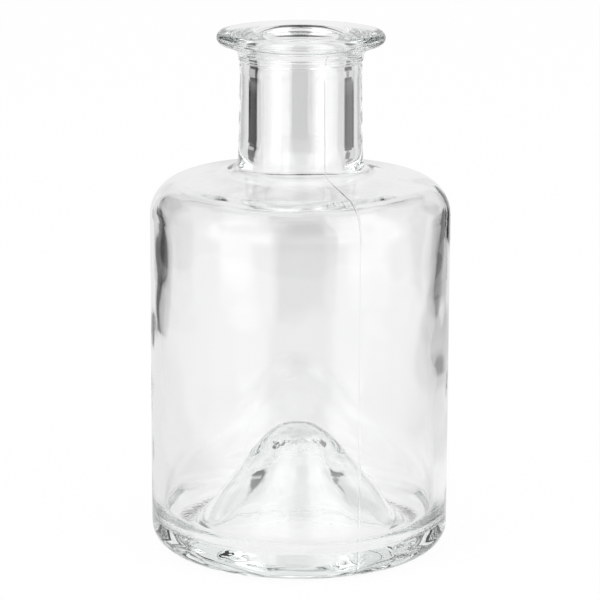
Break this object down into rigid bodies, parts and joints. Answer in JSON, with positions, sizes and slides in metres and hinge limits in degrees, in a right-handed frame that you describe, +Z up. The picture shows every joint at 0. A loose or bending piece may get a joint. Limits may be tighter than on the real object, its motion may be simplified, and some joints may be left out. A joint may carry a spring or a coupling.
{
  "type": "glass pharmacy bottle",
  "caption": "Round clear glass pharmacy bottle with a broad flat lip, short thick neck, rounded shoulder and a pushed-up base.",
  "frame": {"origin": "centre of the base ring that the bottle stands on", "axes": "+Z up the bottle's axis, out of its mouth; -Y is the side that the picture shows"},
  "size_m": [0.066, 0.066, 0.1151],
  "materials": {
    "clear_glass": "clear flint glass with a faint green tint, fire-polished, with slight waviness and mould seams"
  },
  "bodies": {
    "root": {"glass_bottle": "clear_glass"}
  },
  "joints": []
}
